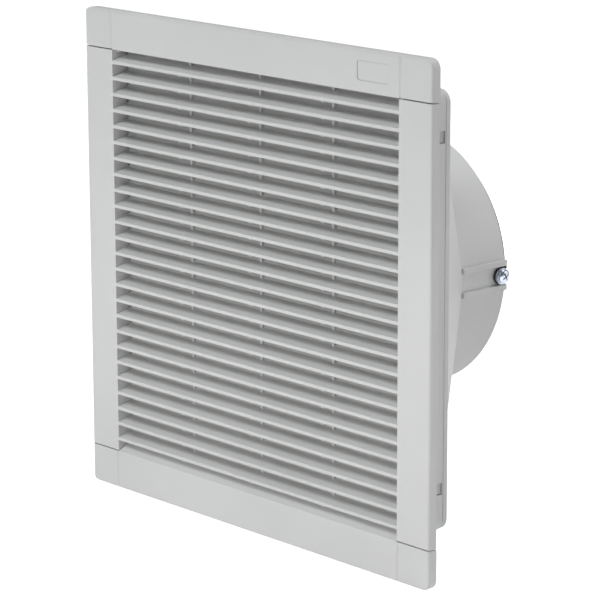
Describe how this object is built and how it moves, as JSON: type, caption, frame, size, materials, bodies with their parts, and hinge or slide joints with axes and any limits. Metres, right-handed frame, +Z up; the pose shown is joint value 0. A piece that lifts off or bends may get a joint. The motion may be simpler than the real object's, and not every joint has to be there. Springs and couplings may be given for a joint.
{
  "type": "enclosure filter fan",
  "caption": "Square louvred filter fan for an enclosure wall: snap-off louvre cover, filter mat, moulded duct and external rotor axial fan on a wire guard.",
  "frame": {"origin": "centre of the panel cut-out, on the panel's outer face, where the flange seats", "axes": "+X to the right seen from the front, +Y into the enclosure along the fan axis, +Z up"},
  "size_m": [0.325, 0.1494, 0.325],
  "materials": {
    "abs_light": "fine moulded texture",
    "filter_fleece": "felted fibre",
    "seal_foam": "closed cell foam",
    "guard_wire": "black powder coat",
    "zinc_steel": "blue passivated zinc",
    "cast_aluminium": "as cast",
    "core_steel": "laminated sheet",
    "copper_wire": "enamelled copper",
    "bearing_steel": "ground steel",
    "rotor_black": "black dip coat",
    "fan_plastic": "glass filled nylon",
    "spring_steel": "phosphated",
    "catch_nylon": "smooth",
    "terminal_dark": "moulded",
    "terminal_cream": "moulded",
    "terminal_brass": "nickel free brass"
  },
  "bodies": {
    "housing": {"base_frame": "abs_light", "filter_mat": "filter_fleece", "support_grid": "abs_light", "foam_seal": "seal_foam", "fan_duct": "abs_light", "wire_guard": "guard_wire", "guard_screws": "zinc_steel", "guard_washers": "zinc_steel", "guard_nuts": "zinc_steel", "motor_flange": "cast_aluminium", "motor_screws": "zinc_steel", "stator_core": "core_steel", "stator_windings": "copper_wire", "front_bearing": "bearing_steel", "rear_bearing": "bearing_steel", "terminal_box": "terminal_dark", "terminal_block": "terminal_cream", "terminal_screws": "terminal_brass", "terminal_lid": "terminal_dark", "lid_screws": "zinc_steel"},
    "rotor": {"rotor_cup": "rotor_black", "impeller": "fan_plastic", "shaft": "bearing_steel", "retaining_clip": "spring_steel"},
    "cover": {"louvre_cover": "abs_light"},
    "catch_left_upper_body": {"catch_left_upper": "catch_nylon"},
    "catch_left_lower_body": {"catch_left_lower": "catch_nylon"},
    "catch_right_upper_body": {"catch_right_upper": "catch_nylon"},
    "catch_right_lower_body": {"catch_right_lower": "catch_nylon"}
  },
  "joints": [
    {"name": "rotor_spin", "type": "hinge", "parent": "housing", "child": "rotor", "pos_m": [0, 0.114, 0], "axis": [0, 1, 0], "continuous": true},
    {"name": "cover_pull", "type": "slide", "parent": "housing", "child": "cover", "axis": [0, -1, 0], "range_m": [0, 0.025]},
    {"name": "catch_left_upper_swing", "type": "hinge", "parent": "housing", "child": "catch_left_upper_body", "pos_m": [-0.1406, 0.013, 0.07], "axis": [0, 0, 1], "range_deg": [0, 13], "stiffness_Nm_per_rad": 0.08, "springref_deg": -5.73},
    {"name": "catch_left_lower_swing", "type": "hinge", "parent": "housing", "child": "catch_left_lower_body", "pos_m": [-0.1406, 0.013, -0.07], "axis": [0, 0, 1], "range_deg": [0, 13], "stiffness_Nm_per_rad": 0.08, "springref_deg": -5.73},
    {"name": "catch_right_upper_swing", "type": "hinge", "parent": "housing", "child": "catch_right_upper_body", "pos_m": [0.1406, 0.013, 0.07], "axis": [0, 0, -1], "range_deg": [0, 13], "stiffness_Nm_per_rad": 0.08, "springref_deg": -5.73},
    {"name": "catch_right_lower_swing", "type": "hinge", "parent": "housing", "child": "catch_right_lower_body", "pos_m": [0.1406, 0.013, -0.07], "axis": [0, 0, -1], "range_deg": [0, 13], "stiffness_Nm_per_rad": 0.08, "springref_deg": -5.73}
  ]
}
